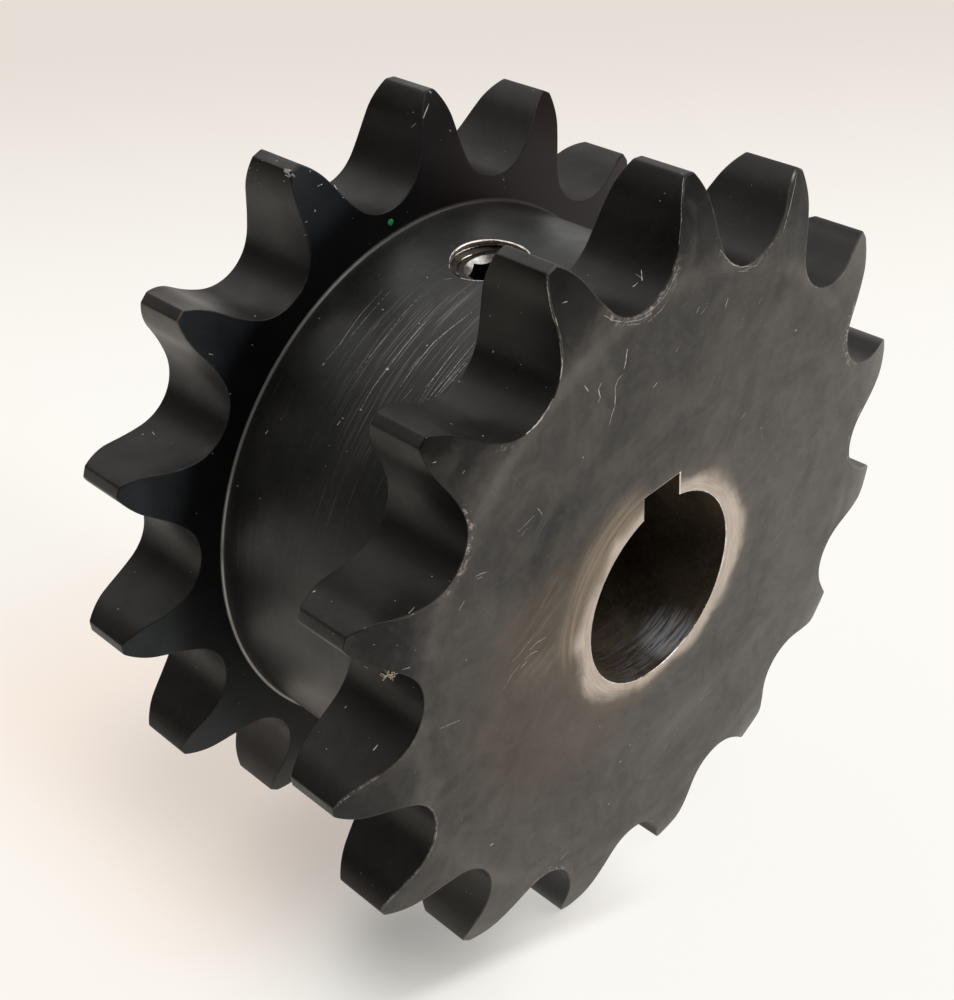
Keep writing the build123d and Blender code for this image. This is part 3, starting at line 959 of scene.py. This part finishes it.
def haze_and_painted_sheen(f):
    """Swirling haze over the flat of an end face, and over its relief only towards the right and down. The
    rise of the haze towards the lower right is painted sheen, the face lighter on the side where more light
    is reflected; the swirls and patches are the haze itself.
    """
    radius, across = f.radius(), f.vector("DOT_PRODUCT", f.place, (0.7071, 0, -0.7071))
    out = f.span(radius, 40.4, 46.5)
    # Painted sheen: the haze rises across the face towards the lower right, and on the relief it lies only
    # there
    haze = f.plus(f.times(f.span(across, -32, 34, 0.17, 0.34), f.rest(out)),
                  f.times(f.span(across, -26, 14, 0.0, 0.37), out))
    for scale, detail, roughness, swirl, depth in ((62, 6, 0.6, 1.8, 0.08), (240, 4, 0.65, 1.0, 0.06)):
        cloud = f.noise(scale, detail, roughness, distortion=swirl)
        haze = f.plus(haze, f.ramp(cloud, 0.3, 0.7, -depth, depth))
    # A light stroke under the bore, and three places wiped darker
    slant, x = f.vector("DOT_PRODUCT", f.place, (-0.3, 0, 0.95)), f.along(0)
    stroke = f.times(f.span(slant, -27.2, -25.6), f.span(slant, -25.2, -23.6, 1, 0))
    stroke = f.times(stroke, f.span(x, -2, 6), f.span(x, 24, 31, 1, 0), 0.1)
    wiped = f.most(f.near((16, -24.9, -13), 5, 6), f.near((-21, -24.9, 15.5), 5, 5))
    wiped = f.most(wiped, f.times(f.near((-21, -24.9, 43.5), 3, 5), 1.8))
    haze = f.plus(haze, f.plus(stroke, f.times(wiped, -0.08)))
    band = f.times(f.span(radius, 38.2, 40.0), f.span(radius, 40.4, 41.6, 1, 0))
    patches = f.ramp(f.noise(130, 4, 0.65), 0.3, 0.7, 0.0, 0.17)
    return f.plus(f.most(haze, 0.0), f.times(band, patches))


def from_ring(f):
    """Distance from the middle of the bare ring round the bore, which is wider than it is high and ragged."""
    centred = f.vector("ADD", f.place, (-0.35 * MM, 0, -0.25 * MM))
    away = f.vector("LENGTH", f.vector("MULTIPLY", centred, (1, 0, 1.11)))
    ragged = f.ramp(f.noise(190, 4, 0.55), 0.25, 0.75, -0.7 * MM, 0.7 * MM)
    wider = f.times(f.near((-10.9, -24.9, -10.9), 2, 4), -1.2 * MM)
    narrower = f.times(f.near((-14, -24.9, 5.5), 3, 4), 1.1 * MM)
    return f.plus(f.plus(away, ragged), f.plus(wider, narrower))


def brushed_on(f, to_ring):
    """Patches beside the bore where the oxide is brushed through."""
    strokes = f.streaks(f.stretched((80, 300, 460), radians(-36)), 5, 0.65, 0.8)
    smear = f.times(f.near((-20, -24.9, 4), 3, 7), f.ramp(strokes, 0.36, 0.7, 0.06, 0.5))
    halo = f.times(f.span(to_ring, 15.5, 19.5, 0.3, 0), f.ramp(f.noise(110, 4, 0.6), 0.3, 0.7, 0.3, 1.0))
    turned = f.ramp(f.streaks(f.turned(120, 1500), 4, 0.65), 0.3, 0.66, 0.4, 1.0)
    belt = f.times(f.span(f.radius(), 16.3, 20.8, 0.95, 0), f.near((-14, -24.9, 8.5), 8, 6), turned)
    return f.most(smear, halo, belt)


def bare_on(f, to_ring):
    """Bare steel: the ring round the bore, short fine scratches two ways, and worn and torn edges."""
    ring = f.span(to_ring, 14.4, 16.9, 0.94, 0.0)
    ways = [f.streaks(f.stretched((330, 330, 5200), radians(turn)), 2, 0.5) for turn in (52, -15)]
    scratched = f.most(*[f.ramp(way, 0.7, 0.76) for way in ways])
    scratched = f.times(scratched, f.ramp(f.noise(55, 3), 0.5, 0.64, 0, 0.2))
    torn = f.times(f.ramp(f.to_edge(), 0.2, 0.95), f.ramp(f.noise(1250, 4, 0.75), 0.5, 0.64))
    valleys = f.times(f.span(f.radius(), 42.0, 44.0, 1, 0), f.ramp(f.noise(48, 2), 0.5, 0.62, 0, 0.8))
    bare = f.most(ring, scratched, f.edge_wear(), f.times(torn, valleys))
    return f.times(bare, f.ramp(f.streaks(f.turned(260, 3500), 4, 0.7), 0.3, 0.65, 0.66, 1.0))


def outer_faces_finish():
    f = Finish("outer_face_oxide", tint=(1.0, 0.97, 0.94), specular=0.27)
    grain = f.lay_oxide()
    # End-face haze, with painted sheen towards the lower right
    f.lay(haze_and_painted_sheen(f), f.tones.haze, 0.48)
    f.lay(f.times(f.near((-15, -24.9, -4), 13, 10), 0.2), f.tones.warm_film, 0.48)
    to_ring = from_ring(f)
    f.lay(brushed_on(f, to_ring), f.tones.brushed, 0.5)
    bare = bare_on(f, to_ring)
    f.lay(bare, f.tones.bare_steel, 0.42)
    relief = f.plus(f.times(f.streaks(f.turned(60, 2600)), 0.4), f.times(grain, 0.6))
    return f.done(f.times(bare, 0.9), relief, 0.008, dust=0.08)


def inner_faces_finish():
    f = Finish("inner_face_oxide_and_shade", tint=(0.94, 0.96, 1.0), specular=0.24)
    # Painted shade: the inner sides, which face each other between the rims, get far darker oxide than the
    # outer faces
    f.lay_oxide(OXIDE_PAINTED_SHADE, (0.003, 0.003, 0.0035))
    cloud = f.ramp(f.noise(110, 4, 0.6, distortion=1.0), 0.35, 0.65, 0.5, 1.0)
    blue = f.times(f.span(f.radius(), 41.5, 45.5), cloud, f.span(f.along(0), -22, 2, 1.0, 0.2))
    f.lay(blue, f.tones.oxide_blue, 0.4)
    f.lay(f.span(f.along(0), -8, 8, 0.0, 0.8), f.tones.oxide_brown, 0.42)
    worn = f.edge_wear()
    f.lay_worn(worn)
    return f.done(worn, f.streaks(f.turned(60, 2600)), 0.005, dust=0.14)


def hub_finish():
    f = Finish("turned_hub_oxide", tint=(1.0, 0.985, 0.93), specular=0.37)
    grain = f.lay_oxide((0.009, 0.009, 0.0088), (0.021, 0.0205, 0.019))
    lines = f.streaks(f.stretched((75, 7500, 75)))
    scored = f.times(f.ramp(lines, 0.57, 0.66, 0.0, 0.5), f.near((-20.5, -5, 29.4), 6, 8))
    faint = f.times(f.ramp(lines, 0.6, 0.72, 0.0, 0.16), f.ramp(f.noise(60, 3, 0.6), 0.45, 0.62))
    # Painted highlight: a light line in the corner of hub and rim, on the left, laid as worn steel along the
    # fillet where it catches the light
    corner = f.times(f.span(f.radius(), 36.54, 36.7, 0.0, 0.75), f.span(f.along(0), -24, -6, 1, 0.1))
    corner = f.times(corner, f.ramp(f.noise(140, 3), 0.35, 0.6, 0.6, 1.0))
    # Real scratches, together with the painted highlight in the corner
    bare = f.most(scored, faint, corner)
    f.lay(bare, f.tones.worn_steel, 0.36)
    turned = f.streaks(f.stretched((38, 3400, 38)), 4, 0.65)
    return f.done(bare, f.plus(f.times(turned, 0.85), f.times(grain, 0.15)), 0.012, dust=0.2)


def bore_finish():
    f = Finish("bored_steel", tint=(1.0, 0.93, 0.85), specular=0.3)
    f.lay_oxide(f.tones.brown_dark, f.tones.brown_film)
    lines = f.streaks(f.stretched((170, 2600, 170)), 4, 0.7)
    mottle = f.ramp(f.noise(330, 4, 0.6), 0.36, 0.6, 0.3, 1.0)
    bright = f.times(f.near((5.9, -22.5, -11.2), 1.3, 3.6), f.ramp(lines, 0.38, 0.58, 0.12, 1.0))
    wide = f.times(f.near((3.5, -23, -12.2), 3, 7), mottle, f.ramp(lines, 0.42, 0.65, 0.0, 0.24))
    dim = f.times(f.near((-6, -23, -11.2), 2, 6), mottle, f.ramp(lines, 0.44, 0.65, 0.0, 0.17))
    thin = f.times(f.ramp(lines, 0.52, 0.7), f.ramp(f.noise(150, 4), 0.5, 0.65, 0, 0.12))
    bare = f.most(bright, wide, dim, thin)
    f.lay(bare, f.tones.bore_steel, 0.42)
    return f.done(f.times(bare, 0.4), lines, 0.012)


def threads_finish():
    f = Finish("thread_oxide", tint=(1.0, 0.85, 0.7), specular=0.35)
    grain = f.lay_oxide((0.008, 0.006, 0.004), f.tones.brown_film)
    bare = f.ramp(f.noise(900, 3, 0.7), 0.62, 0.74, 0, 0.3)
    f.lay(bare, f.tones.worn_steel, 0.4)
    return f.done(bare, grain, 0.01)


def grained_steel(f, dull, bright, roughness):
    """Bare steel that goes from a dull to a bright tone in a fine grain."""
    grain = f.noise(1300, 4, 0.7)
    f.colour = f.blend(f.ramp(grain, 0.35, 0.65), dull, bright)
    f.roughness = f.ramp(grain, 0.3, 0.8, *roughness)
    return f.done(1.0, grain, 0.006)


def bare_edges_finish():
    f = Finish("bare_steel_edge")
    return grained_steel(f, rgba(f.tones.bare_steel, 0.7), rgba(EDGE_BRIGHT), (0.18, 0.35))


def socket_flare_finish():
    f = Finish("worn_socket_flare")
    return grained_steel(f, rgba(f.tones.worn_steel, 0.6), rgba(f.tones.worn_steel, 1.2), (0.3, 0.45))


def screw_finish():
    f = Finish("screw_oxide", tint=(1.0, 0.9, 0.8))
    grain = f.lay_oxide((0.004, 0.0035, 0.003), (0.03, 0.023, 0.017))
    bare = f.ramp(f.noise(900, 4, 0.7), 0.6, 0.72, 0, 0.4)
    f.lay_worn(bare)
    return f.done(bare, grain, 0.008)


def socket_finish():
    f = Finish("socket_oxide_and_shade", specular=0.3)
    # Painted shade: the hexagon socket gets darker oxide than the rest of the screw, for the shade in its
    # recess
    grain = f.lay_oxide(OXIDE_PAINTED_SHADE, f.tones.oxide_dark)
    return f.done(0.0, grain, 0.008)


def scratch_finish():
    f = Finish("scratched_steel")
    broken = f.ramp(f.noise(1900, 3, 0.7), 0.36, 0.56)
    f.colour, f.roughness = f.blend(broken, rgba(f.tones.haze), rgba(f.tones.scratch)), 0.42
    return f.done(f.times(broken, 0.8), broken, 0.01)


def speckled_finish(name, scale, dull, bright, roughness, depth):
    """A matt finish in one colour, from dull to bright."""
    f = Finish(name)
    shade = f.noise(scale, 3, 0.6)
    f.colour, f.roughness = f.blend(shade, rgba(dull), rgba(bright)), f.ramp(shade, 0.3, 0.7, *roughness)
    return f.done(0.0, shade, depth)


def floor_shadow(f, rays):
    """How much darker the floor is in the part's shadow, and for gloss also under it and far to the left."""
    x, y, gloss = f.along(0), f.along(1), rays["Is Glossy Ray"]
    # Long towards the left and back, and sharp at the front, whose edge runs at a slant
    shadow = f.times(f.span(x, -58, -28, 0.0, 0.42), f.span(y, 34, 68, 1.0, 0.3))
    front = f.plus(y, f.times(f.plus(x, 20 * MM), 0.27))
    shadow = f.times(shadow, f.span(front, -25.5, -21.5), f.span(x, -14, 6, 1.0, 0.0))
    # Darkest where the teeth stand
    low = CAD_LOW.z / MM
    shadow = f.plus(shadow, f.times(f.near((-29, -15, low), 4, 13), 0.22))
    shadow = f.times(shadow, f.rest(f.times(gloss, 0.5)))
    under = f.times(f.near((4, -12, low), 16, 24), 0.4)
    return f.most(shadow, f.times(f.most(under, f.span(x, -330, -130, 0.5, 0.0)), gloss))


def floor_finish(settings):
    """Pale floor that keeps the shadow and looks near white to the camera and in gloss, duller far away as
    painted falloff of light.
    """
    f = Finish("floor", specular=0.0)
    f.put(f.surface.inputs["Base Color"], rgba(settings.floor_colour))
    f.put(f.surface.inputs["Roughness"], 1.0)
    rays = f.add("LightPath").outputs
    seen = f.most(rays["Is Camera Ray"], rays["Is Glossy Ray"], rays["Is Transmission Ray"])
    back = f.vector("DOT_PRODUCT", f.place, (0.55, 0.83, 0))
    x, y = f.along(0), f.along(1)
    # Painted falloff of light: the white dims with distance from the camera
    white = f.blend(f.span(back, 100, 420), rgba(settings.floor_glow_colour), rgba(settings.floor_far_falloff))
    # Painted shadow colour: the white turns warmer where the part's shadow lies, behind the part and to its
    # left
    shadow_warmth = f.times(f.span(y, -14, 16), f.span(y, 60, 110, 1.0, 0.1))
    shadow_warmth = f.times(shadow_warmth, f.span(x, -68, -38, 0.2, 1.0), f.span(x, -10, 30, 1.0, 0.0))
    white = f.blend(shadow_warmth, white, rgba(settings.floor_shadow_warmth))
    glow = f.add("Emission", {"Color": white, "Strength": 1.0}).outputs[0]
    share = f.most(f.maths("SUBTRACT", settings.floor_glow, floor_shadow(f, rays)), 0.0)
    both = f.add("MixShader", {0: f.times(seen, share), 1: f.surface.outputs[0], 2: glow})
    f.tree.links.new(both.outputs[0], f.tree.nodes["Material Output"].inputs["Surface"])
    return f.material


def in_hole(sizes, screws, turns, place):
    """Whether a place lies on the wall of a tapped hole, inside its mouth."""
    for turn in turns:
        out = Vector((-sin(turn), 0, cos(turn)))
        height = place.dot(out)
        if height > sizes.bore_radius / 2 and (place - out * height).length < screws.mouth_radius + WELD:
            return True
    return False


def zone_of(sizes, screws, turns, place, normal):
    """The finish of a face of the body, from its middle in millimetres and its normal."""
    radius = hypot(place.x, place.z)
    in_wall = sizes.bore_radius + ON_SURFACE < radius < sizes.hub_radius - ON_SURFACE
    if in_wall and abs(normal.y) < WALL_LEAN and in_hole(sizes, screws, turns, place):
        return "threads"
    if radius < sizes.keyway_floor + 0.4 and abs(place.y) < sizes.half_length - WELD:
        return "bore"
    if abs(place.y) < sizes.inner_face - WELD and radius < sizes.web_radius:
        return "hub"
    if abs(normal.y) > SIDE_LEAN:
        return "outer_faces" if abs(place.y) > sizes.strand_spacing / 2 else "inner_faces"
    on_tip = radius > sizes.outside_radius - 2 * ON_SURFACE and abs(normal.y) < TIP_LEAN
    return "tip_lands" if on_tip else "teeth"


def mouth_edges(bm, inner, outer):
    """Edges where the faces of one zone meet those of another."""
    pair = {ZONES.index(inner), ZONES.index(outer)}
    return [e for e in bm.edges if {face.material_index for face in e.link_faces} == pair]


def finish_body(body, sizes, screws):
    """Gives each face of the body its finish, and rounds the mouths of its bore and its tapped holes."""
    turns = screw_turns(sizes, screws).values()
    for zone in ZONES:
        body.data.materials.append(FINISHES[zone]())
    bm = bmesh.new()
    bm.from_mesh(body.data)
    for face in bm.faces:
        zone = zone_of(sizes, screws, turns, face.calc_center_median(), face.normal)
        face.material_index = ZONES.index(zone)
    mouths = (("bore", "outer_faces", sizes.bore_break), ("threads", "hub", screws.mouth_break))
    for inner, outer, width in mouths:
        made = bmesh.ops.bevel(
            bm, geom=mouth_edges(bm, inner, outer), offset=width, offset_type="OFFSET", affect="EDGES",
            segments=3, profile=0.5, material=-1, clamp_overlap=False)
        for face in made["faces"]:
            face.material_index = ZONES.index("bare_edges")
    bm.to_mesh(body.data)
    bm.free()


FINISHES = {
    "teeth": teeth_finish, "tip_lands": tip_lands_finish, "outer_faces": outer_faces_finish,
    "inner_faces": inner_faces_finish, "hub": hub_finish, "bore": bore_finish, "threads": threads_finish,
    "bare_edges": bare_edges_finish,
}


class SPROCKET_OT_body(bpy.types.Operator):
    """Make the body with its teeth, bore, keyway and tapped holes"""

    bl_idname = "sprocket.body"
    bl_label = "Body"

    def execute(self, context):
        sizes, screws = body_sizes(), in_mm(context.scene.screw_sizes)
        bm = bmesh.new()
        make_blank(bm, sizes)
        body = made_object(bm, "body")
        combine(body, keyed_bore(sizes), "DIFFERENCE")
        for turn in screw_turns(sizes, screws).values():
            drill_tapped_hole(body, sizes, screws, turn)
        finish_body(body, sizes, screws)
        to_metres(body)
        smooth_with_edges(body)
        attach(body, "root")
        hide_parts("sprocket_body")
        return {"FINISHED"}


class SPROCKET_OT_set_screws(bpy.types.Operator):
    """Make both socket set screws in their holes"""

    bl_idname = "sprocket.set_screws"
    bl_label = "Set screws"

    def execute(self, context):
        sizes, screws = body_sizes(), in_mm(context.scene.screw_sizes)
        for name, turn in screw_turns(sizes, screws).items():
            screw = set_screw(sizes, screws, turn, name.replace("set_screw", "socket_screw"))
            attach(screw, "root")
            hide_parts(name)
        return {"FINISHED"}


class SPROCKET_OT_marks(bpy.types.Operator):
    """Make the scratches, burrs, paint dot and lint that rest on the body"""

    bl_idname = "sprocket.marks"
    bl_label = "Marks"

    def execute(self, context):
        body = bpy.data.objects["body"]
        surface = BVHTree.FromObject(body, context.evaluated_depsgraph_get())
        for piece in (marks_on(surface, body_sizes()), paint_dot(), lint()):
            smooth_with_edges(piece)
            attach(piece, "root")
        return {"FINISHED"}


class SPROCKET_OT_stage(bpy.types.Operator):
    """Set up the floor, the lamps and the camera"""

    bl_idname = "sprocket.stage"
    bl_label = "Stage"

    def execute(self, context):
        settings = context.scene.sprocket_stage
        camera = bpy.data.objects.new("camera", bpy.data.cameras.new("camera"))
        context.scene.collection.objects.link(camera)
        context.scene.camera = camera
        camera.location = settings.camera_place
        camera.rotation_euler = Euler(settings.camera_turn)
        camera.data.lens = settings.focal_length
        camera.data.shift_x, camera.data.shift_y = settings.shift_x, settings.shift_y
        camera.data.clip_start = 10 * MM

        bm = bmesh.new()
        bmesh.ops.create_grid(bm, x_segments=1, y_segments=1, size=FLOOR_REACH)
        bmesh.ops.translate(bm, verts=bm.verts, vec=(0, 0, CAD_LOW.z))
        floor = made_object(bm, "floor")
        floor.data.materials.append(floor_finish(settings))

        world = bpy.data.worlds.new("world")
        world.use_nodes = True
        wall = world.node_tree.nodes["Background"]
        wall.inputs["Color"].default_value = (*settings.wall_colour, 1)
        wall.inputs["Strength"].default_value = settings.wall_light
        context.scene.world = world
        for name, place, size, glow in LAMPS:
            data = bpy.data.lights.new(name, "AREA")
            data.shape, data.size, data.size_y = "RECTANGLE", *size
            data.energy = pi * size[0] * size[1] * glow
            lamp = bpy.data.objects.new(name, data)
            lamp.location = place
            lamp.rotation_euler = (-Vector(place)).to_track_quat("-Z", "Y").to_euler()
            context.scene.collection.objects.link(lamp)
        context.scene.view_settings.view_transform = "Standard"
        return {"FINISHED"}


class SPROCKET_PT_pieces(bpy.types.Panel):
    """The steps that make the sprocket, and what they go by"""

    bl_idname = "SPROCKET_PT_pieces"
    bl_label = "Sprocket"
    bl_space_type = "VIEW_3D"
    bl_region_type = "UI"
    bl_category = "Sprocket"

    def draw(self, context):
        for operator in OPERATORS:
            self.layout.operator(operator.bl_idname)
        for name, group in GROUPS:
            box = self.layout.box()
            box.label(text=group.__doc__)
            for setting in group.__annotations__:
                box.prop(getattr(context.scene, name), setting)


GROUPS = (
    ("sprocket_sizes", SprocketSizes), ("screw_sizes", ScrewSizes),
    ("finish_colours", FinishColours), ("sprocket_stage", StageSettings),
)
OPERATORS = (SPROCKET_OT_body, SPROCKET_OT_set_screws, SPROCKET_OT_marks, SPROCKET_OT_stage)
CLASSES = (*[group for _, group in GROUPS], *OPERATORS, SPROCKET_PT_pieces)


def register():
    for cls in CLASSES:
        bpy.utils.register_class(cls)
    for name, group in GROUPS:
        setattr(bpy.types.Scene, name, PointerProperty(type=group))


def unregister():
    for name, _ in GROUPS:
        delattr(bpy.types.Scene, name)
    for cls in reversed(CLASSES):
        bpy.utils.unregister_class(cls)


def main():
    register()
    bpy.ops.sprocket.body()
    bpy.ops.sprocket.set_screws()
    bpy.ops.sprocket.marks()
    bpy.ops.sprocket.stage()


if __name__ == "__main__":
    main()
